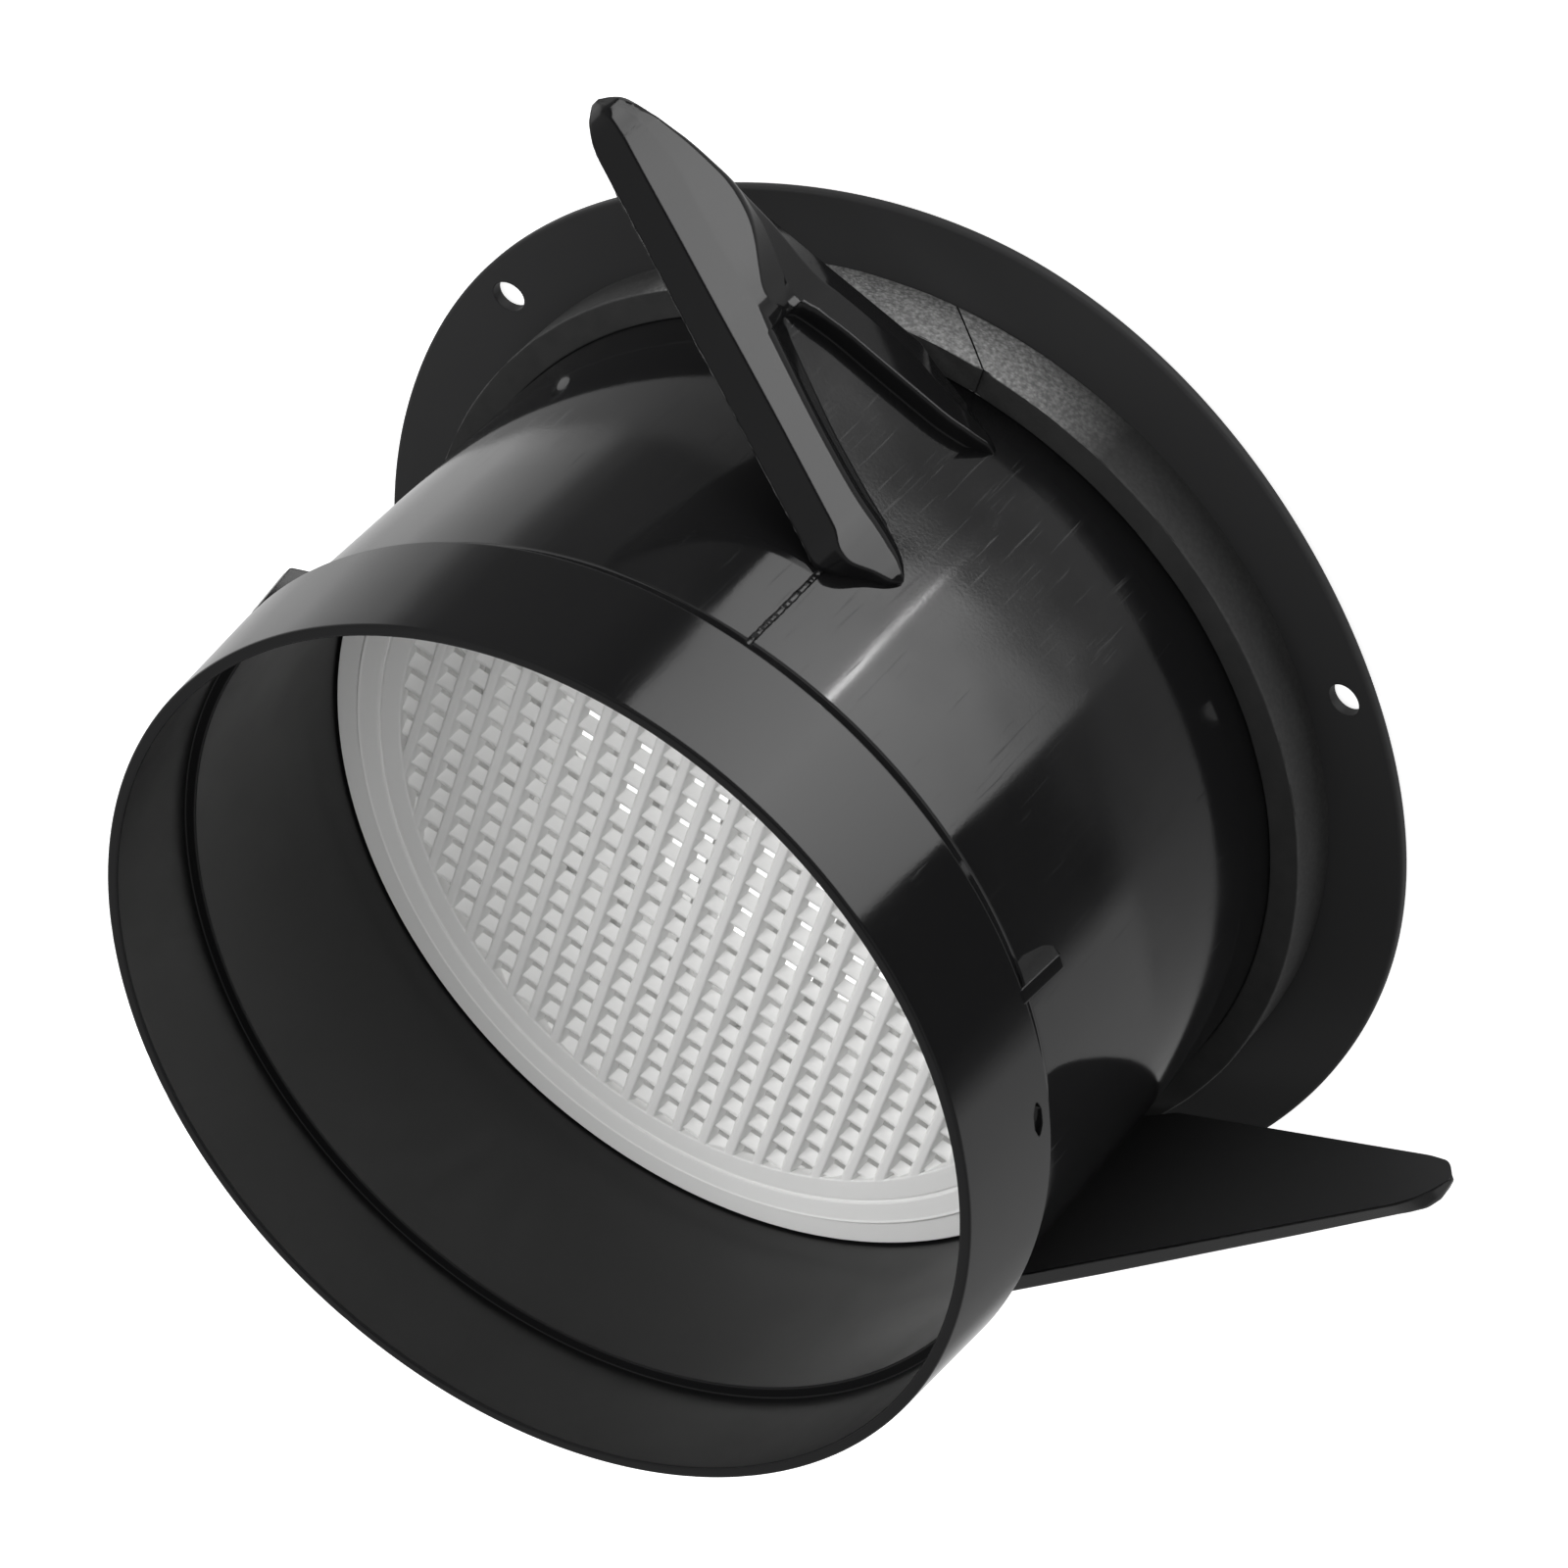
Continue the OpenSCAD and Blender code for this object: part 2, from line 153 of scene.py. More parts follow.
def sum_of(tree, first, second, kind="ADD"):
    """Two values added, or combined in another way."""
    node = add(tree, "Math", operation=kind)
    tree.links.new(first, node.inputs[0])
    tree.links.new(second, node.inputs[1])
    return node.outputs["Value"]


# %% [markdown]
# ## The floor
#
# A product photograph on white is taken on a bright sweep. Here one large pale
# plane does it. It glows a little, so that it comes out white beside a black
# object. Glossy plastic would mirror it everywhere, so the floor is hidden
# from reflections, and the cards and the room take that part.

# %% Floor
floor_half = 6.0        # metres
floor_glow = 0.85

floor_mesh = bpy.data.meshes.new("floor")
floor_mesh.from_pydata(
    [(x * floor_half, y * floor_half, 0)
     for x, y in ((-1, -1), (1, -1), (1, 1), (-1, 1))],
    [], [(0, 1, 2, 3)],
)
floor = bpy.data.objects.new("floor", floor_mesh)
bpy.context.scene.collection.objects.link(floor)
floor.location.z = -0.0004
floor.visible_glossy = False
floor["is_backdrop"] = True

floor_material, tree, shader = new_material("pale_floor")
shader.inputs["Base Color"].default_value = (0.88, 0.88, 0.88, 1)
shader.inputs["Roughness"].default_value = 0.9
shader.inputs["Emission Color"].default_value = (1, 1, 1, 1)
shader.inputs["Emission Strength"].default_value = floor_glow
floor_mesh.materials.append(floor_material)
print("floor is", 2 * floor_half, "m wide")

# %% [markdown]
# ## The room
#
# Black gloss shows little of its own colour: what we see on it is the room. So
# the room is a designed thing. It is dim above, where the flange and the top
# edges look. Below the horizon its brightness depends on the heading, as a
# ring of dark and pale walls would. Only reflections see that lower part,
# because the floor covers it from the camera and from soft light.

# %% Room
wall_glow = (       # heading in degrees, brightness of the wall there
    (-180, 0.60), (-165, 0.26), (-150, 0.30), (-120, 0.52), (-99, 0.62),
    (-91, 0.12), (-84, 0.05), (-50, 0.05), (28, 0.07), (40, 0.14), (72, 0.14),
    (80, 0.26), (87, 0.66), (100, 0.84), (114, 1.00), (130, 0.72), (150, 0.68),
    (165, 1.00), (180, 0.60),
)
overhead_glow = 0.08
high_wall_glow = 0.26

world = bpy.data.worlds.new("studio")
bpy.context.scene.world = world
world.use_nodes = True
tree = world.node_tree
split = add(tree, "SeparateXYZ")
tree.links.new(add(tree, "TexCoord").outputs["Generated"], split.inputs["Vector"])
heading = sum_of(tree, split.outputs["Y"], split.outputs["X"], "ARCTAN2")
walls = add(tree, "ValToRGB")
stops = walls.color_ramp.elements
while len(stops) < len(wall_glow):
    stops.new(1.0)
for stop, (degrees, glow) in zip(stops, wall_glow):
    stop.position = (degrees + 180) / 360
    stop.color = (glow, glow, glow, 1)
tree.links.new(
    remap(tree, heading, -math.pi, math.pi, 0, 1), walls.inputs["Fac"]
)
ceiling = remap(tree, split.outputs["Z"], 0.80, 0.93, high_wall_glow, overhead_glow)
pick = add(tree, "Mix", data_type="FLOAT")
tree.links.new(remap(tree, split.outputs["Z"], -0.02, 0.06, 0, 1), pick.inputs[0])
tree.links.new(walls.outputs["Color"], pick.inputs[2])
tree.links.new(ceiling, pick.inputs[3])
background = tree.nodes["Background"]
background.inputs["Color"].default_value = (1, 1, 1, 1)
tree.links.new(pick.outputs[0], background.inputs["Strength"])
print("the ring wall has", len(wall_glow), "stops")

# %% [markdown]
# ## Lights
#
# Soft area lights above the floor light the white grid and the foam. The main
# one stands to the side, so that part of the grid lies in the tube's own shade.
# The lights are hidden from reflections: highlights are placed one by one, with
# the cards of the next cell.

# %% Area lights
def place_round(heading, height, distance):
    """The point at a heading round the axis, at an angle above the floor."""
    along = math.radians(heading)
    up = math.radians(height)
    return distance * Vector((
        math.cos(along) * math.cos(up), math.sin(along) * math.cos(up), math.sin(up),
    ))


def point_at(obj, place, target):
    """Stands an object at a place with its face (-Z) to the target."""
    obj.location = place
    obj.rotation_euler = (
        (Vector(target) - Vector(place)).to_track_quat("-Z", "Y").to_euler()
    )


def area_light(name, heading, height, distance, size, power):
    """A square soft light that looks at the vent."""
    data = bpy.data.lights.new(name, "AREA")
    data.size = size
    data.energy = power
    light = bpy.data.objects.new(name, data)
    bpy.context.scene.collection.objects.link(light)
    point_at(light, place_round(heading, height, distance), (0, 0, 0.05))
    light.visible_glossy = False
    return light


area_light("key", heading=75, height=50, distance=1.7, size=1.1, power=15)
area_light("front", heading=-15, height=66, distance=1.6, size=1.2, power=9)

# %% [markdown]
# ## Reflection cards
#
# The long shapes in the black gloss are mirrored cards. Each card is a glowing
# sheet that only reflections can see. A softbox gives the broad grey patch on
# the tube, a thin strip its sharp line, and a round table below ends both with
# a level edge. A card's glow may fade towards its sides, as a real one's does.

# %% Reflection cards
def card(name, points, place, glow, fade=0.0):
    """A glowing sheet with these corners, seen only in reflections."""
    mesh = bpy.data.meshes.new(name)
    mesh.from_pydata([(x, y, 0) for x, y in points], [], [tuple(range(len(points)))])
    material = bpy.data.materials.new(name)
    material.use_nodes = True
    material.cycles.emission_sampling = "NONE"
    nodes = material.node_tree
    nodes.nodes.remove(nodes.nodes["Principled BSDF"])
    emission = add(nodes, "Emission", {"Strength": glow})
    if fade:
        across = add(nodes, "SeparateXYZ")
        nodes.links.new(
            add(nodes, "TexCoord").outputs["Object"], across.inputs["Vector"]
        )
        off_centre = add(nodes, "Math", operation="ABSOLUTE")
        nodes.links.new(across.outputs["X"], off_centre.inputs[0])
        half_width = max(abs(x) for x, y in points)
        nodes.links.new(
            remap(nodes, off_centre.outputs[0], 0, half_width, glow, glow * (1 - fade)),
            emission.inputs["Strength"],
        )
    nodes.links.new(
        emission.outputs["Emission"], nodes.nodes["Material Output"].inputs["Surface"]
    )
    mesh.materials.append(material)
    sheet = bpy.data.objects.new(name, mesh)
    bpy.context.scene.collection.objects.link(sheet)
    point_at(sheet, place, (0, 0, 0))
    sheet.visible_camera = sheet.visible_diffuse = sheet.visible_shadow = False
    sheet.visible_transmission = False
    sheet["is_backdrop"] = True
    return sheet


def rectangle(left, right, low, high):
    """Corners of an upright rectangle, in metres."""
    return [(left, low), (right, low), (right, high), (left, high)]


softbox_place = place_round(-12, -38, 1.20)
strip_place = place_round(-12, -38, 0.88)
card("softbox_card", rectangle(-0.645, 0.635, -0.26, 0.42), softbox_place, 3.1, fade=0.35)
card("strip_card", rectangle(0.046, 0.058, -0.022, 0.035), strip_place, 20)

table_drop = 0.65       # metres below the floor
table_radius = 0.757
table_corners = 96
table = card("table_card", [
    (table_radius * math.cos(2 * math.pi * corner / table_corners),
     table_radius * math.sin(2 * math.pi * corner / table_corners))
    for corner in range(table_corners)
], (0, 0, -table_drop), 0.33)
print("cards stand", round(softbox_place.length, 2), "m away, out of the camera's view")

# %% [markdown]
# ## Black gloss plastic
#
# The housing is one ABS moulding straight from a polished tool. Real moulded
# gloss is never a perfect mirror: the wall ripples a little where it cooled,
# handling leaves a faint haze and fine scratches, and edges are slightly round.
# The inside and the flange came from duller tool faces. They get finishes of
# their own, and the foam hides the line where the flange's finish ends. The
# flange's finish also has a lighter base colour: painted light.

# %% Black gloss plastic
black_plastic, tree, shader = new_material("black_gloss_plastic")
shader.inputs["Base Color"].default_value = (0.0065, 0.0065, 0.0068, 1)
shader.inputs["IOR"].default_value = 1.5

haze = remap(tree, patches(tree, 0.035, detail=4), 0.3, 0.75, 0.045, 0.13)
scratches = patches(tree, 0.0005, detail=2, stretch=(1.0, 1.0, 0.04))
scratch_haze = remap(tree, scratches, 0.62, 0.80, 0.0, 0.14)
tree.links.new(sum_of(tree, haze, scratch_haze), shader.inputs["Roughness"])

round_edge = add(tree, "Bevel", {"Radius": 0.0003}, samples=4).outputs["Normal"]
relief = bump(tree, patches(tree, 0.022, detail=1), 0.00010, under=round_edge)
relief = bump(tree, scratches, 0.0000012, under=relief)
relief = bump(tree, patches(tree, 0.0006, detail=2), 0.000002, under=relief)
tree.links.new(relief, shader.inputs["Normal"])
print("black plastic has", len(tree.nodes), "nodes")

# %% Dull black for the inside
black_plastic_inside, tree, shader = new_material("black_plastic_inside")
shader.inputs["Base Color"].default_value = (0.0075, 0.0075, 0.0078, 1)
tree.links.new(
    remap(tree, patches(tree, 0.02, detail=4), 0.3, 0.75, 0.30, 0.42),
    shader.inputs["Roughness"],
)
tree.links.new(bump(tree, patches(tree, 0.0005), 0.000004), shader.inputs["Normal"])

# %% Duller black, painted lighter, for the flange and wing backs
black_painted_lighter, tree, shader = new_material("black_plastic_painted_lighter")
# Painted light: the base colour is several times lighter than the tube's, to brighten the flange and
# the wing backs.
shader.inputs["Base Color"].default_value = (0.030, 0.030, 0.0305, 1)
shader.inputs["Specular IOR Level"].default_value = 0.22
tree.links.new(
    remap(tree, patches(tree, 0.03, detail=5), 0.3, 0.75, 0.44, 0.58),
    shader.inputs["Roughness"],
)
round_edge = add(tree, "Bevel", {"Radius": 0.0003}, samples=4).outputs["Normal"]
tree.links.new(
    bump(tree, patches(tree, 0.0005), 0.000004, under=round_edge), shader.inputs["Normal"]
)
print("flange finish has", len(tree.nodes), "nodes")

# %% [markdown]
# ## Helpers for shapes
#
# Every moulded part of the vent is a cross-section carried along a path: round
# the axis for the tube, along a wing, up a moulding line. So one helper rounds
# the corners of a section, and one stretches a skin over a row of sections.
# Lengths are written in millimetres, as on a drawing.

# %% Shape helpers
MM = 0.001


def rounded(corners, steps=4):
    """A closed outline through corners (x, y, radius), with rounded corners."""
    outline = []
    for index, (x, y, radius) in enumerate(corners):
        here = Vector((x, y))
        back = Vector(corners[index - 1][:2]) - here
        ahead = Vector(corners[(index + 1) % len(corners)][:2]) - here
        half_turn = max(back.angle(ahead, math.pi) / 2, 0.05)
        reach = min(
            radius / math.tan(half_turn), 0.45 * back.length, 0.45 * ahead.length
        )
        start = here + back.normalized() * reach
        end = here + ahead.normalized() * reach
        for step in range(steps + 1):
            t = step / steps
            outline.append(
                (1 - t) ** 2 * start + 2 * t * (1 - t) * here + t ** 2 * end
            )
    return outline


def split_long(outline, longest):
    """The same closed outline with its long sides cut into shorter ones."""
    points = []
    for here, ahead in zip(outline, outline[1:] + outline[:1]):
        parts = max(1, math.ceil((ahead - here).length / longest))
        points += [here.lerp(ahead, part / parts) for part in range(parts)]
    return points


def skin(sections, loop=False):
    """Points and faces stretched over closed sections of equal length."""
    count = len(sections[0])
    points = [point for section in sections for point in section]
    faces = []
    rows = len(sections)
    for row in range(rows if loop else rows - 1):
        near, far = row * count, (row + 1) % rows * count
        for column in range(count):
            beside = (column + 1) % count
            faces.append((near + column, near + beside, far + beside, far + column))
    if not loop:
        faces.append(tuple(reversed(range(count))))
        faces.append(tuple(range(len(points) - count, len(points))))
    return points, faces


def even_shading(obj):
    """Lets the broad faces decide the shading, so that flats mirror as flats."""
    weighted = obj.modifiers.new("even_shading", "WEIGHTED_NORMAL")
    weighted.mode = "FACE_AREA"
    weighted.weight = 60
    weighted.keep_sharp = True


def new_piece(name, shape, finish, body="housing", sharp=40):
    """A mesh piece from points in millimetres, dressed and riding on a body."""
    points, faces = shape
    mesh = bpy.data.meshes.new(name)
    mesh.from_pydata([Vector(point) * MM for point in points], [], faces)
    shape_data = bmesh.new()
    shape_data.from_mesh(mesh)
    bmesh.ops.recalc_face_normals(shape_data, faces=shape_data.faces)
    shape_data.to_mesh(mesh)
    shape_data.free()
    mesh.shade_smooth()
    mesh.set_sharp_from_angle(angle=math.radians(sharp))
    mesh.materials.append(finish)
    obj = bpy.data.objects.new(name, mesh)
    bpy.context.scene.collection.objects.link(obj)
    even_shading(obj)
    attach(obj, body)
    return obj


def at(radius, azimuth, height):
    """The point at a radius and an azimuth in degrees, in millimetres."""
    turn = math.radians(azimuth)
    return Vector((radius * math.cos(turn), radius * math.sin(turn), height))


def wander(place, seed, size=1.0):
    """Smooth noise from -1 to 1 along a line; seed picks another line."""
    return noise.noise(Vector((place / size, seed * 7.31, 0.5)))


# %% [markdown]
# ## The tube and its flange
#
# Tube, shoulder, collar and flange are one wall, so one section is turned round
# the axis. The section is drawn in radius and height, with its corners rounded
# as a mould rounds them. A real wide flange never stays flat: this one lifts on
# both sides of the front wing. We lift those points by a smooth hump.

# %% Tube and flange
neck_radius = 74.2
bore_radius = 72.6
flange_radius = 92.47
neck_height = 85.8
mouth_height = 107.4
flange_humps = ((-47, 50, 3.0), (46, 46, 3.7))   # azimuth, half-width, lift

tube_section = split_long(rounded([
    (bore_radius, 0, 0.5), (flange_radius, 0, 0.7), (flange_radius, 2, 0.7),
    (neck_radius, 2, 0.5), (neck_radius, 82.4, 2.5), (75.1, 85.0, 0.9),
    (76.4, neck_height, 0.45), (75.0, mouth_height, 0.5), (73.1, mouth_height, 0.4),
    (74.5, 87.4, 0.3), (bore_radius, 87.4, 0.4),
    (bore_radius, 7.2, 0.4), (73.35, 6.4, 0.3), (73.35, 5.6, 0.3), (bore_radius, 4.8, 0.4),
]), longest=3.0)


def flange_lift(azimuth, radius):
    """How far the warped flange rises at a place, in millimetres."""
    if radius <= neck_radius:
        return 0.0
    out = ((radius - neck_radius) / (flange_radius - neck_radius)) ** 1.4
    lift = 0.0
    for middle, half_width, height in flange_humps:
        away = abs((azimuth - middle + 180) % 360 - 180) / half_width
        if away < 1:
            lift += height * math.cos(away * math.pi / 2) ** 2
    return lift * out


def mouth_nick(azimuth, radius, height):
    """Small dents that handling leaves on the mouth's rim, in millimetres."""
    if height < mouth_height - 0.6:
        return 0.0
    return 0.28 * max(0.0, wander(azimuth, 3, 1.1) - 0.52)


columns = 480
tube_rows = []
for column in range(columns):
    azimuth = 360 * column / columns
    row = []
    for radius, height in tube_section:
        lift = flange_lift(azimuth, radius) if height < 2.5 else 0.0
        row.append(at(radius, azimuth, height + lift - mouth_nick(azimuth, radius, height)))
    tube_rows.append(row)
tube = new_piece("tube", skin(tube_rows, loop=True), black_plastic)
print("tube has", len(tube.data.polygons), "faces")

# %% [markdown]
# ## Holes in the flange and the slot in the collar
#
# Three screw holes and one narrow slot go right through the wall. A boolean
# modifier cuts them, which keeps the turned section simple. The cutting shapes
# are joined in one mesh and thrown away afterwards.

# %% Cut the holes and the slot
screw_azimuths = (68.4, -51.6, 188.4)
screw_circle = 86.7
screw_hole_radius = 2.75
slot_azimuth = -66.2
slot_height = 88.9
slot_length = 7.0
slot_width = 2.0


def merge(shapes):
    """Several point-and-face shapes as one."""
    points, faces = [], []
    for more_points, more_faces in shapes:
        start = len(points)
        points += more_points
        faces += [tuple(start + corner for corner in face) for face in more_faces]
    return points, faces


def hole_cutter(azimuth):
    """A round rod through the flange."""
    middle = at(screw_circle, azimuth, 0)
    ring = [
        Vector((screw_hole_radius * math.cos(turn), screw_hole_radius * math.sin(turn), 0))
        for turn in (2 * math.pi * step / 40 for step in range(40))
    ]
    return skin([[middle + point + Vector((0, 0, z)) for point in ring] for z in (-2, 9)])


def slot_cutter():
    """A bar with pointed ends through the collar."""
    half = slot_length / 2
    shape = rounded([
        (-half, 0, 0.5), (-half * 0.4, -slot_width / 2, 2), (half * 0.4, -slot_width / 2, 2),
        (half, 0, 0.5), (half * 0.4, slot_width / 2, 2), (-half * 0.4, slot_width / 2, 2),
    ])
    turn = Matrix.Rotation(math.radians(slot_azimuth), 3, "Z")
    return skin([
        [turn @ Vector((radius, x, slot_height + z)) for x, z in shape]
        for radius in (70, 80)
    ])


cutters = new_piece(
    "cutters", merge([hole_cutter(azimuth) for azimuth in screw_azimuths] + [slot_cutter()]),
    black_plastic,
)
tube.modifiers.clear()
cut = tube.modifiers.new("holes", "BOOLEAN")
cut.solver = "EXACT"
cut.object = cutters
bpy.context.view_layer.update()
cut_mesh = bpy.data.meshes.new_from_object(
    tube.evaluated_get(bpy.context.evaluated_depsgraph_get())
)
tube.modifiers.clear()
tube.data = cut_mesh
tube.data.shade_smooth()
tube.data.set_sharp_from_angle(angle=math.radians(40))
even_shading(tube)
bpy.data.objects.remove(cutters)

tube.data.materials.append(black_plastic_inside)
tube.data.materials.append(black_painted_lighter)
flange_finish_end = 8.0 * MM    # height; above it only the collar is as wide
for face in tube.data.polygons:
    outward = Vector((face.center.x, face.center.y, 0))
    if face.normal.dot(outward.normalized()) < -0.6:
        face.material_index = 1
    elif face.center.z < flange_finish_end and outward.length > (neck_radius + 1) * MM:
        face.material_index = 2
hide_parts("housing")
print("after the cuts the tube has", len(tube.data.polygons), "faces")

# %% [markdown]
# ## Side tabs and moulding lines
#
# Three small tabs stand under the collar's shoulder, and three raised lines run
# down the neck where the halves of the mould met. A moulding line is thin and
# ragged, because plastic creeps into the joint of the tool by uneven amounts.

# %% Side tabs and moulding lines
tab_thickness = 2.4
tab_edge = 0.35
line_azimuths = (-1.5, 118.5, 238.5)
line_low, line_high = 54.5, 85.7
line_width = 0.95
line_rise = 0.42

tab_side = rounded([
    (73.4, 74.0, 0.2), (75.1, 74.0, 0.5), (77.6, 76.4, 0.9), (76.5, 85.9, 0.3),
    (76.3, 86.8, 0.3), (73.4, 86.8, 0.2),
])
tab_middle = sum(tab_side, Vector((0, 0))) / len(tab_side)


def side_tab(azimuth):
    """A flat tab with eased edges."""
    turn = Matrix.Rotation(math.radians(azimuth), 3, "Z")
    half = tab_thickness / 2
    layers = []
    for across, ease in (
        (-half, tab_edge), (-half + 0.1, 0.1), (-half + tab_edge, 0),
        (half - tab_edge, 0), (half - 0.1, 0.1), (half, tab_edge),
    ):
        layer = []
        for point in tab_side:
            inward = (tab_middle - point).normalized() * ease
            radius, height = point + inward
            layer.append(turn @ Vector((radius, across, height)))
        layers.append(layer)
    return skin(layers)


def moulding_line(azimuth, seed):
    """A ragged raised line up the neck."""
    turn = Matrix.Rotation(math.radians(azimuth), 3, "Z")
    layers = []
    steps = 110
    for step in range(steps + 1):
        height = line_low + (line_high - line_low) * step / steps
        fade = min(1.0, (height - line_low) / 1.5 + 0.05)
        rise = line_rise * fade * (1 + 0.45 * wander(height, seed, 0.9))
        left = -line_width / 2 * (1 + 0.22 * wander(height, seed + 1, 0.8))
        right = line_width / 2 * (1 + 0.22 * wander(height, seed + 2, 0.8))
        section = [
            (neck_radius - 0.5, left), (neck_radius + 0.55 * rise, left),
            (neck_radius + rise, left * 0.62), (neck_radius + 0.86 * rise, 0.0),
            (neck_radius + rise * 0.95, right * 0.62), (neck_radius + 0.5 * rise, right),
            (neck_radius - 0.5, right),
        ]
        layers.append([turn @ Vector((radius, across, height)) for radius, across in section])
    return skin(layers)


tabs = new_piece(
    "side_tabs", merge([side_tab(azimuth) for azimuth in screw_azimuths]),
    black_plastic,
)
lines = new_piece(
    "moulding_lines",
    merge([moulding_line(azimuth, 5 * turn) for turn, azimuth in enumerate(line_azimuths)]),
    black_plastic, sharp=60,
)
print("tabs", len(tabs.data.polygons), "faces, lines", len(lines.data.polygons), "faces")

# %% [markdown]
# ## The barbed wings
#
# Each wing is a flat spring with two legs. The leg on the mouth side has a
# steep wall, a broad panel and a long slope down to a thin web. The leg on the
# flange side has a short upright wall beside the web. Both legs grow together
# into one blunt tip. The wing is built as a row of sections along its length.
# Tables give, for places along the wing, how high each line of its form runs.
# The wing's flat back has the dull finish of the flange, with its lighter base
# colour: painted light.

# %% Lines of the wing
wing_azimuths = (-1.5, -121.5, 118.5)
wing_turn = math.radians(71)    # the wing leans back by 19 degrees
wing_root = 73.8                # radius of the wing's back at its root
wing_tip = 72.4                 # how far the wing reaches
recess_end = 30.4               # where the recess between the legs ends
tip_limits = ((73.1, 1.21), (78.7, 0.374))   # slants that thin the wing to its tip

mouth_edge = (
    (-9.3, 54.8), (-9, 55.6), (-8, 56.9), (-5, 58.6), (-2, 61.3), (1, 62.9),
    (3, 61.8), (66, 37.8), (69, 35.9), (71, 33.6), (72.1, 31.8), (72.5, 30.6),
)
wall_depth = (
    (-9.3, 0.2), (-8, 0.3), (-3, 0.4), (-1, 0.8), (2, 2.7), (66, 2.9), (72.5, 0.6),
)
wall_rise = (
    (-9.3, 3.35), (-9.1, 3.5), (-8.7, 3.6), (-8, 3.7), (-6.5, 3.85), (-4, 4.0), (2, 4.5),
    (20, 4.5), (50, 4.1), (70, 3.6),
)
crest_line = (
    (-9.3, 54.6), (-8, 53.0), (-6, 51.6), (0, 50.9), (3, 50.6), (8, 49.2), (13, 47.4),
    (18, 45.6), (31, 40.4), (43, 36.8), (51, 34), (58, 31), (66, 30.6), (72.5, 30.3),
)
crest_rise = (
    (-9.3, 3.42), (-9.1, 3.65), (-8.7, 3.9), (-8, 4.15), (-6.5, 4.5), (-4, 4.75),
    (0, 5.15), (30, 5.2),
    (36, 4.85), (60, 4.75), (72, 4.6),
)
ridge_rise = 5.2                # thickness at the ridge beyond the recess
slope_foot = (
    (-9.3, 54.4), (-9, 52.8), (-8, 50.8), (-6, 48.7), (-3, 46.9), (3, 45.2), (13, 41.6),
    (23, 37), (28, 34.6), (30, 33.2), (31, 35.5), (34, 38.0), (38, 34), (43, 28.6),
    (46, 26.6), (50, 25.2), (58, 26.2), (66, 28.2), (72.5, 30.2),
)
low_wall = (
    (-9.3, 22.2), (-6.5, 20.9), (-5, 21.3), (-2, 23.2), (3, 25.1), (13, 27), (23, 28.7),
    (28, 30.2), (30, 31.0), (34, 30.0), (38, 27.6), (43, 24.8), (50, 23.6), (58, 25.0),
    (66, 27.4), (72.5, 30.0),
)
low_wall_rise = (
    (-9.3, 1.0), (-6.2, 1.4), (-5.4, 2.5), (-4, 3.6), (0, 4.1), (28, 4.1), (31, 3.5),
    (38, 3.2), (44, 2.9), (52, 3.4), (60, 4.0), (72.5, 4.0),
)
low_edge = (
    (-9.3, 20.4), (-6.5, 19.4), (-2, 16.9), (3, 16), (10, 15.2), (13.9, 14.3),
    (66, 24.7), (70, 26.1), (71.3, 28), (72.1, 29.4), (72.5, 30.1),
)


def along(table, place):
    """Reads a table at a place along the wing."""
    for (start, low), (end, high) in zip(table, table[1:]):
        if place <= end:
            return low + (high - low) * max(0.0, place - start) / (end - start)
    return table[-1][1]


def smooth_along(table, place, spread=1.6):
    """Reads a table with its corners eased."""
    spread = min(spread, place + 9.35, 72.55 - place)
    samples = (-1.0, -0.6, -0.2, 0.2, 0.6, 1.0)
    return sum(along(table, place + spread * offset) for offset in samples) / len(samples)


def neck_face(place):
    """How far out the neck's round face lies behind the wing at a place."""
    side = math.sin(wing_turn)
    lean = math.cos(wing_turn)
    rest = (
        wing_root ** 2 + place ** 2 + 2 * wing_root * place * lean - neck_radius ** 2
    )
    return -wing_root * side + math.sqrt(max(0.0, (wing_root * side) ** 2 - rest))


print("neck lies", round(neck_face(-9), 2), "mm out at the wing's foot")

# %% [markdown]
# A section of the wing has ten corners: the thin edge on the mouth side, the
# top of its wall, the crest, the foot of the slope, the upright wall, the
# flange-side edge, and the flat back. Near the root the back follows the round
# neck, so that it sinks into the wall and never shows inside the tube.

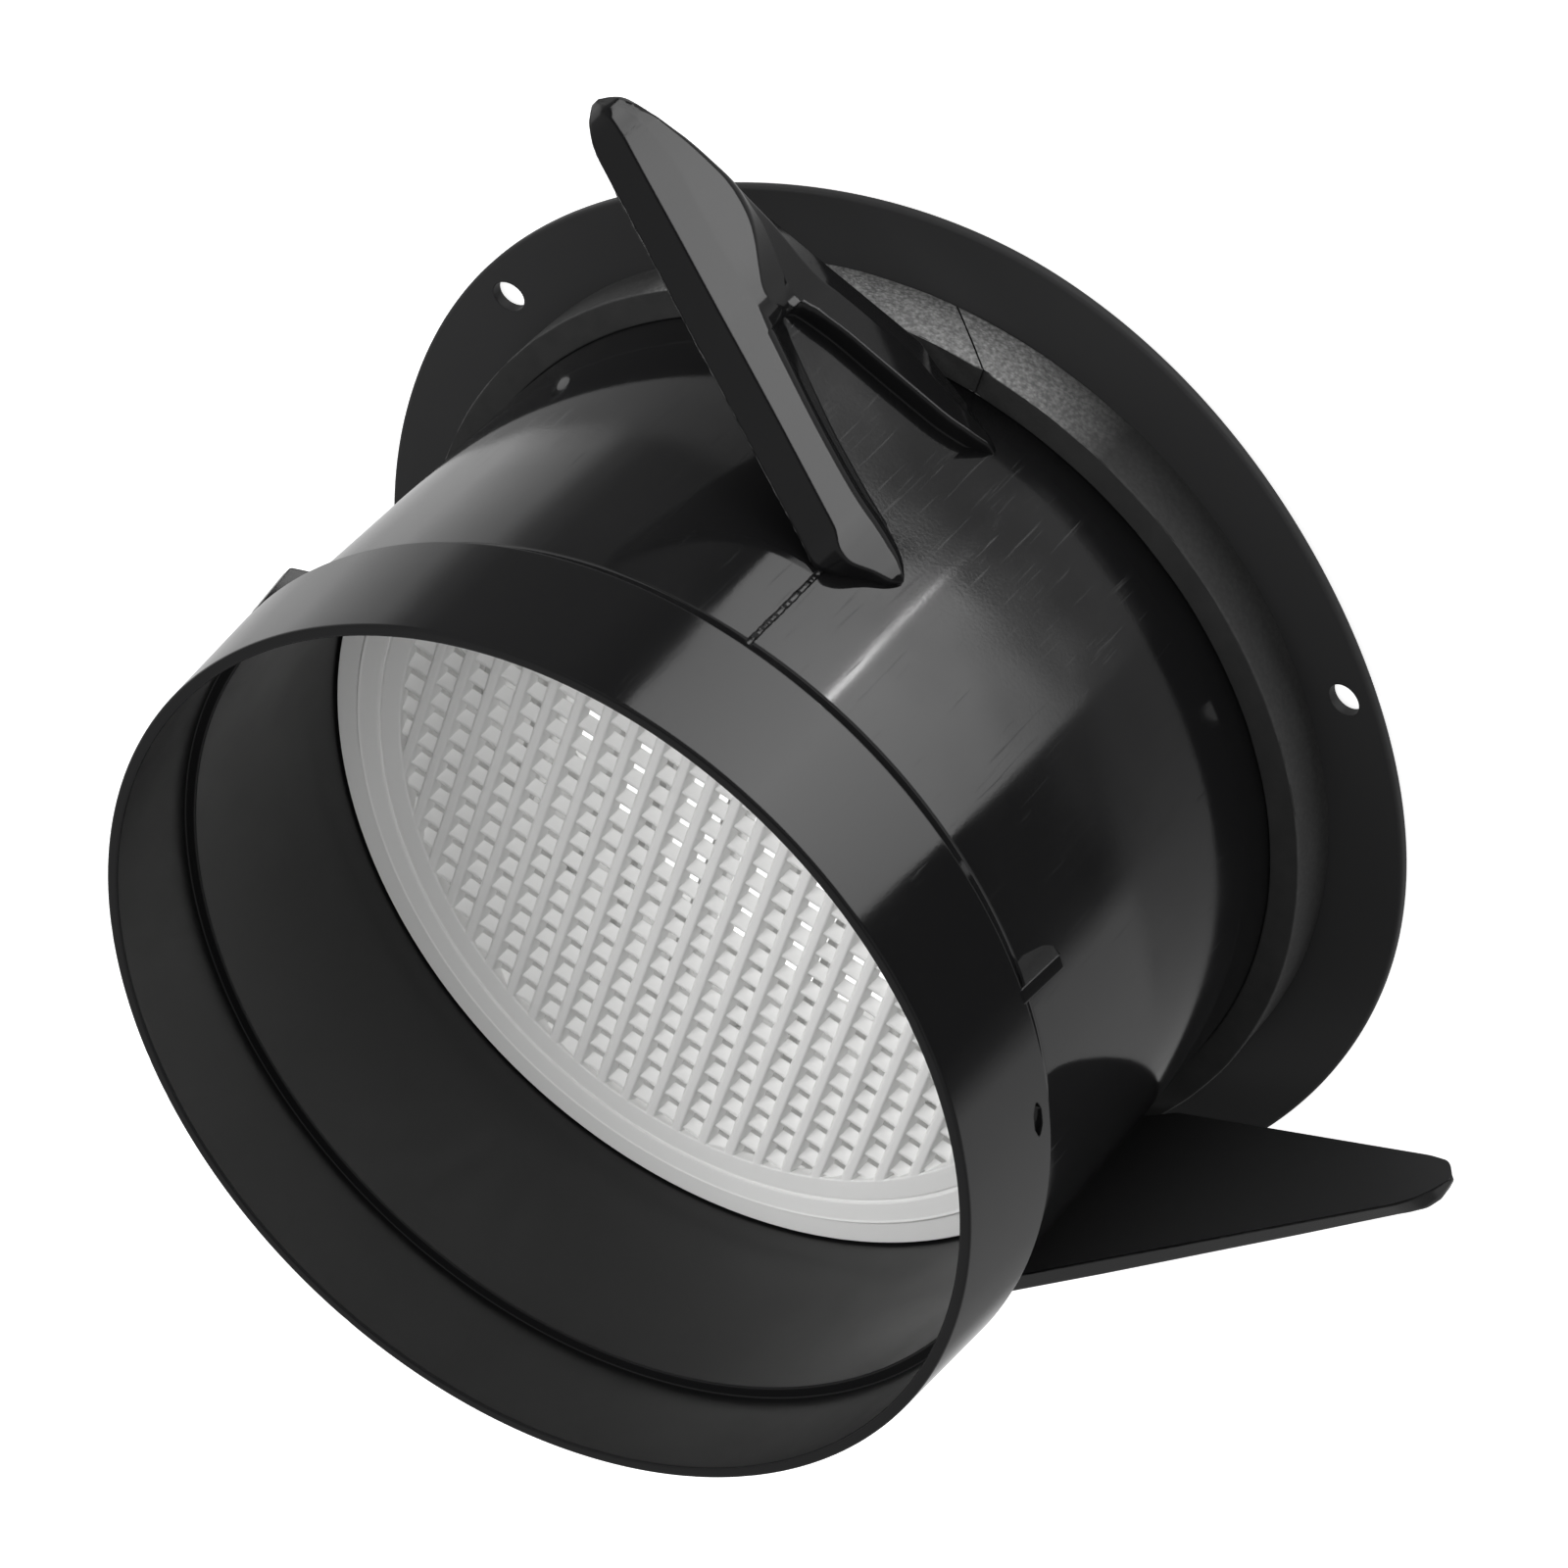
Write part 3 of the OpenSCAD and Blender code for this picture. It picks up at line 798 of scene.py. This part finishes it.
# %% Sections of the wing
def wing_section(place):
    """Corners (height, thickness, radius) of the wing at a place along it."""
    back = max(0.0, neck_face(place) - 1.35)
    floor_level = max(1.0, neck_face(place) - 1.1)
    high = smooth_along(mouth_edge, place, 0.8)
    low = smooth_along(low_edge, place, 0.9)
    depth = high - low
    nose = min(1.0, max(0.0, (3 - place) / 4))     # 1 in the rounded end at the foot
    end_fade = 1.0
    if place > 69.2:
        end_fade = max(0.12, 1 - ((place - 69.2) / (wing_tip - 69.2)) ** 2) ** 0.5
    wall = high - min(smooth_along(wall_depth, place), 0.28 * depth)
    crest = smooth_along(crest_line, place, 2.2)
    foot = smooth_along(slope_foot, place, 1.2 if place < 34 else 2.4)
    upright = leg_top = smooth_along(low_wall, place)
    top_wall = along(wall_rise, place)
    top_crest = along(crest_rise, place)
    top_upright = max(along(low_wall_rise, place), floor_level + 0.02)
    in_recess = place < recess_end
    if in_recess:
        closing = max(0.0, (place - 28.2) / (recess_end - 28.2))
        half_gap = (foot - upright) / 2 * math.sqrt(max(0.0, 1 - closing ** 2.4))
        middle = (foot + upright) / 2
        foot, upright = middle + half_gap + 0.12, middle - half_gap - 0.12
        foot_level = upright_level = floor_level
    else:
        ridge = min(1.0, (place - recess_end) / 4.5)
        middle = (foot + upright) / 2
        spread = 0.12 * (1 - ridge)
        foot = middle + spread + (foot - middle) * ridge
        upright = middle - spread + (upright - middle) * ridge
        fall = 0.42 * (crest - foot) * (1 - ridge)
        foot_level = top_crest * (1 - ridge) + ridge_rise * ridge - fall
        upright_level = foot_level + (top_upright - foot_level) * 0.75
    bottom = low + 0.22
    swell = 0.50 * top_upright + 0.75
    corners = [
        (high, back, 0.1), (high, back + 0.42 + 1.25 * nose, 0.2), (wall, top_wall, 2.0 - 1.4 * nose),
        (crest, top_crest, 5.0),
        (foot, foot_level, 0.55 if in_recess else 3.0),
        (upright + 0.05, upright_level, 0.35 if in_recess else 1.5),
        (leg_top - 0.12, top_upright, 0.75 + 1.45 * min(1.0, max(0.0, place - 26) / 8)),
        (low + 0.42 * (leg_top - low), swell, 2.5),
        (bottom, back + 0.75, 0.45), (low, back, 0.1),
    ]
    ordered = []
    last = high
    for height, level, radius in corners[:-1]:
        height = min(height, last - (0.0 if height == high else 0.004 * depth))
        height = max(height, low + 0.01)
        last = height
        level = back + (level - back) * end_fade
        for limit, slope in tip_limits:
            level = min(level, max(0.3, (limit - place) * slope))
        ordered.append((height, level, radius))
    ordered.append(corners[-1])
    return rounded(ordered, steps=5)


def spaced(start, end, count, crowd_start=False, crowd_end=False):
    """Places from start to end, closer together at a crowded end."""
    places = []
    for step in range(count):
        t = step / count
        if crowd_start:
            t = 1 - math.cos(t * math.pi / 2)
        if crowd_end:
            t = math.sin(t * math.pi / 2)
        places.append(start + (end - start) * t)
    return places


wing_places = (
    spaced(-9.28, -5, 16, crowd_start=True) + spaced(-5, 28, 66)
    + spaced(28, recess_end - 0.02, 14, crowd_end=True)
    + spaced(recess_end - 0.02, recess_end + 0.35, 3)
    + spaced(recess_end + 0.35, 68, 62) + spaced(68, wing_tip, 18, crowd_end=True)
    + [wing_tip]
)


def on_wing(azimuth, place, height, out):
    """A point of a wing, from its own lengths to the vent's."""
    side = math.sin(wing_turn)
    lean = math.cos(wing_turn)
    flat = Vector((wing_root + place * lean + out * side, place * side - out * lean, height))
    return Matrix.Rotation(math.radians(azimuth), 3, "Z") @ flat


wing_sections = [(place, wing_section(place)) for place in wing_places]
for number, azimuth in enumerate(wing_azimuths, start=1):
    wing = new_piece(
        f"wing_{number}",
        skin([
            [on_wing(azimuth, place, height, out) for height, out in section]
            for place, section in wing_sections
        ]),
        black_plastic, sharp=50,
    )
    # The flat back gets the duller finish, whose lighter base colour is painted light.
    wing.data.materials.append(black_painted_lighter)
    outward = on_wing(azimuth, 0, 0, 1) - on_wing(azimuth, 0, 0, 0)
    for face in wing.data.polygons:
        if face.normal.dot(outward) < -0.9:
            face.material_index = 1
print("a wing has", len(wing.data.polygons), "faces")

# %% [markdown]
# ## Flash along the wings
#
# Where the mould's halves meet along a wing's thin edge, a paper-thin fin of
# plastic creeps out. It catches the light as a bright, broken line, with small
# nicks where it was torn or rubbed off.

# %% Flash
flash_step = 0.3
flash_thickness = 0.16


def flash_height(travelled, seed):
    """How far the flash stands out of the edge, in millimetres."""
    slow = 0.20 + 0.10 * wander(travelled, seed, 6.0)
    ragged = 0.16 * wander(travelled, seed + 1, 0.8)
    torn = 0.5 * max(0.0, wander(travelled, seed + 2, 1.6) - 0.42)
    spike = 1.1 * max(0.0, wander(travelled, seed + 3, 1.1) - 0.60)
    return max(0.03, slow + ragged - torn + spike)


def wing_flash(azimuth, seed):
    """A thin ragged fin along the wing's mouth-side edge and round its tip."""
    layers = []
    place = 2.0
    while place < wing_tip - 0.25:
        edge = smooth_along(mouth_edge, place, 0.8)
        rise = flash_height(place, seed)
        if place > 71:
            rise *= 0.5
        low = 0.12 + 0.08 * wander(place, seed + 4, 2.0)
        top = low + flash_thickness
        layers.append([
            on_wing(azimuth, place, edge - 0.5, low),
            on_wing(azimuth, place, edge + rise, low + 0.03),
            on_wing(azimuth, place, edge + rise, top),
            on_wing(azimuth, place, edge - 0.5, top + 0.03),
        ])
        place += flash_step
    return skin(layers)


flash = new_piece(
    "wing_flash",
    merge([wing_flash(azimuth, 11 * number) for number, azimuth in enumerate(wing_azimuths)]),
    black_plastic,
)
print("flash has", len(flash.data.polygons), "faces")

# %% [markdown]
# ## Black foam
#
# The seal is a strip of closed-cell foam. Its cut side shows thousands of tiny
# cells, so it is dull and speckled. Beside the joint, where the side faces heading
# 15 degrees, it is painted much lighter: painted light. Its top, the foam's skin,
# is painted darker than the side: painted shade.

# %% Black foam
black_foam, tree, shader = new_material("black_foam")
shader.inputs["Roughness"].default_value = 0.92
shader.inputs["Specular IOR Level"].default_value = 0.10
cells = add(tree, "TexVoronoi", {"Scale": 1 / 0.0006})
tree.links.new(add(tree, "TexCoord").outputs["Object"], cells.inputs["Vector"])
place = add(tree, "NewGeometry")
level = add(tree, "VectorMath", {1: (1, 1, 0)}, operation="MULTIPLY")
outward = add(tree, "VectorMath", operation="NORMALIZE")
facing = add(tree, "VectorMath", operation="DOT_PRODUCT")
# Painted light: the cut side facing this heading is coloured much lighter, as if lit there.
painted_light_heading = math.radians(15)
painted_light_facing = add(
    tree, "VectorMath", {1: (math.cos(painted_light_heading), math.sin(painted_light_heading), 0)},
    operation="DOT_PRODUCT",
)
tree.links.new(place.outputs["Position"], level.inputs[0])
tree.links.new(level.outputs[0], outward.inputs[0])
tree.links.new(outward.outputs[0], facing.inputs[0])
tree.links.new(place.outputs["Normal"], facing.inputs[1])
tree.links.new(outward.outputs[0], painted_light_facing.inputs[0])
# Painted shade: this picks out the top, which is coloured darker than the side.
painted_shade_top_share = remap(tree, facing.outputs["Value"], 0.35, 0.75, 1.0, 0.0)
painted_light_share = remap(tree, painted_light_facing.outputs["Value"], 0.86, 0.975, 0.05, 1.0)

speckle = sum_of(
    tree, remap(tree, patches(tree, 0.0008, detail=4), 0.38, 0.66, 0.0, 0.7),
    remap(tree, cells.outputs["Distance"], 0.0, 0.6, 0.35, 0.0),
)
# Painted light: the cut side's speckle is far lighter than black foam's own colour.
painted_lit_speckle = add(tree, "ValToRGB")
painted_lit_speckle.color_ramp.elements[0].color = (0.19, 0.19, 0.19, 1)
painted_lit_speckle.color_ramp.elements[1].color = (0.42, 0.42, 0.415, 1)
tree.links.new(speckle, painted_lit_speckle.inputs["Fac"])
# Painted shade: the top gets a darker colour than the side.
painted_shade_top = add(tree, "ValToRGB")
painted_shade_top.color_ramp.elements[0].color = (0.026, 0.026, 0.026, 1)
painted_shade_top.color_ramp.elements[1].color = (0.040, 0.040, 0.040, 1)
tree.links.new(patches(tree, 0.004, detail=5), painted_shade_top.inputs["Fac"])
# The side turns from the foam's plain dark to the painted light towards that heading.
side_colour = add(tree, "Mix", {6: (0.046, 0.046, 0.046, 1)}, data_type="RGBA")
tree.links.new(painted_light_share, side_colour.inputs[0])
tree.links.new(painted_lit_speckle.outputs["Color"], side_colour.inputs[7])
foam_colour = add(tree, "Mix", data_type="RGBA")
tree.links.new(painted_shade_top_share, foam_colour.inputs[0])
tree.links.new(side_colour.outputs[2], foam_colour.inputs[6])
tree.links.new(painted_shade_top.outputs["Color"], foam_colour.inputs[7])
tree.links.new(foam_colour.outputs[2], shader.inputs["Base Color"])
pits = sum_of(tree, cells.outputs["Distance"], painted_light_share, "MULTIPLY")
tree.links.new(bump(tree, pits, 0.00012), shader.inputs["Normal"])
print("black foam has", len(tree.nodes), "nodes")

# %% [markdown]
# ## The foam strip
#
# The strip is glued round the neck on the flange. Its two ends meet in a butt
# joint that was cut slightly askew, so the joint leans on the outer side. Soft
# foam never lies quite true, so its top and side waver by a tenth or two.

# %% Foam strip
foam_low, foam_top = 2.0, 12.4
foam_outer = 79.3
joint_low, joint_high = 8.3, 0.6     # azimuth of the joint at the bottom and top
joint_gap = 0.30                     # degrees

foam_section = split_long(rounded([
    (neck_radius, foam_low, 0.3), (foam_outer, foam_low, 0.3),
    (foam_outer, foam_top, 0.55), (neck_radius, foam_top, 0.4),
]), longest=0.8)
foam_rows = []
foam_columns = 720
for column in range(foam_columns + 1):
    row = []
    travelled = column / foam_columns
    for radius, height in foam_section:
        joint = joint_low + (joint_high - joint_low) * (height - foam_low) / (foam_top - foam_low)
        azimuth = joint + joint_gap / 2 + (360 - joint_gap) * travelled
        waver = noise.noise(at(0.12 * radius, azimuth, height * 0.3))
        grain = noise.noise(at(1.6 * radius, azimuth, height * 1.6))
        on_top = height > foam_top - 0.3
        on_side = radius > foam_outer - 0.3
        lift = (0.10 * waver - 0.10 + 0.02 * grain) if on_top else 0.0
        swell = (0.12 * waver - 0.12 + 0.05 * grain) if on_side else 0.0
        end = min(column, foam_columns - column)
        if end < 2 and on_top:
            lift -= 0.25 - 0.10 * end
        row.append(at(radius + swell, azimuth, height + lift))
    foam_rows.append(row)
foam = new_piece("foam_strip", skin(foam_rows), black_foam, sharp=60)
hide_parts("foam_seal")
print("foam has", len(foam.data.polygons), "faces")

# %% [markdown]
# ## White plastic
#
# The grid, drum and blades are white plastic with a dull, finely textured face.

# %% White plastic
white_plastic, tree, shader = new_material("white_matte_plastic")
shader.inputs["Base Color"].default_value = (0.86, 0.86, 0.85, 1)
tree.links.new(
    remap(tree, patches(tree, 0.012), 0.3, 0.7, 0.32, 0.46), shader.inputs["Roughness"]
)
round_edge = add(tree, "Bevel", {"Radius": 0.0002}, samples=4).outputs["Normal"]
relief = bump(tree, patches(tree, 0.003, detail=2), 0.00002, under=round_edge)
tree.links.new(
    bump(tree, patches(tree, 0.0006), 0.00001, under=relief), shader.inputs["Normal"]
)
print("white plastic has", len(tree.nodes), "nodes")

# %% [markdown]
# ## The white grid
#
# Two families of bars cross in the disc's window. The long ones are broad,
# smooth and straight. The cross bars are roof-shaped, run a little lower, and
# leave only narrow slits between them. Each sags between two long bars, as a
# cooling bar is drawn down in the mould. Both are sections carried
# along a line and cut short where they run into the rim.

# %% Rim of the grid
rim_section = split_long(rounded([
    (60.0, 47.3, 0.2), (60.0, 49.3, 0.35), (63.6, 49.3, 0.15), (63.8, 49.05, 0.1),
    (64.1, 49.05, 0.1), (64.3, 49.45, 0.2), (67.4, 49.6, 0.3), (67.8, 49.8, 0.25),
    (68.2, 49.25, 0.2), (72.2, 48.9, 0.3), (72.2, 46.9, 0.2), (70.1, 46.9, 0.1),
    (70.1, 44.9, 0.1), (68.1, 44.9, 0.1), (68.1, 46.9, 0.1), (64, 46.9, 0.1),
]), longest=2.0)
rim_columns = 360
rim_shape = skin([
    [at(radius, 360 * column / rim_columns, height) for radius, height in rim_section]
    for column in range(rim_columns)
], loop=True)

# %% Bars of the grid
grid_low, grid_top = 47.3, 49.26      # just under the rim's inner band
bar_reach = 61.5
long_pitch, long_shift = 4.87, 1.86
cross_pitch, cross_shift = 4.61, 1.45
long_section = rounded([
    (-1.5, grid_low, 0.1), (-0.76, grid_top, 0.55), (0.76, grid_top, 0.55), (1.5, grid_low, 0.1),
], steps=4)
cross_top = grid_top - 0.2
cross_section = rounded([
    (-1.92, grid_low, 0.1), (-0.2, cross_top, 0.25), (0.2, cross_top, 0.25),
    (1.92, grid_low, 0.1),
], steps=3)
cross_sag = 0.35


def cuts_between(half_length, pitch, shift, parts):
    """Places along a bar, with some between each pair of crossing bars."""
    first = math.floor((-half_length - shift) / pitch)
    places = [-half_length]
    place = shift + first * pitch
    while place < half_length:
        for part in range(parts):
            here = place + pitch * part / parts
            if -half_length + 0.05 < here < half_length - 0.05:
                places.append(here)
        place += pitch
    return places + [half_length]


bars = []
count = int(60 / 4.5)
for index in range(-count, count + 1):
    across = long_shift + index * long_pitch
    if abs(across) < bar_reach - 1.5:
        half = math.sqrt(bar_reach ** 2 - across ** 2)
        bars.append(skin([
            [Vector((x, across + y, z)) for y, z in long_section]
            for x in (-half, half)
        ]))
    across = cross_shift + index * cross_pitch
    if abs(across) < bar_reach - 1.5:
        half = math.sqrt(bar_reach ** 2 - across ** 2)
        layers = []
        for y in cuts_between(half, long_pitch, long_shift, 8):
            part = ((y - long_shift) / long_pitch) % 1
            sag = cross_sag * math.sin(math.pi * part) ** 0.7
            crest = 0.05 * noise.noise(Vector((across * 3, y * 1.7, 0.0)))
            layers.append([
                Vector((across + x, y, z - (sag - crest) * (z - grid_low) / (cross_top - grid_low)))
                for x, z in cross_section
            ])
        bars.append(skin(layers))
grid = new_piece(
    "grid", merge([rim_shape] + bars), white_plastic, body="core", sharp=40,
)
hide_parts("grid_disc")
print("grid has", len(bars), "bars and", len(grid.data.polygons), "faces")

# %% [markdown]
# ## The parts that stay as packed
#
# The drum, the blades and the link bar have the right shape in the CAD model.
# They only get the white plastic.

# %% Dress the CAD nodes
for name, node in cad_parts.items():
    node.data.materials.clear()
    if name == "housing":
        node.data.materials.append(black_plastic)
    elif name == "foam_seal":
        node.data.materials.append(black_foam)
    else:
        node.data.materials.append(white_plastic)
print("dressed", len(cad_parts), "nodes")

# %% [markdown]
# ## The size of both models
#
# We print the boxes of the CAD model and of the picture model. The picture
# model may not grow past the CAD model.

# %% Print both boxes
visual_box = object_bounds()
for name, box in (("cad", cad_box), ("visual", visual_box)):
    print(name, [[round(value * 1000, 2) for value in corner] for corner in box])
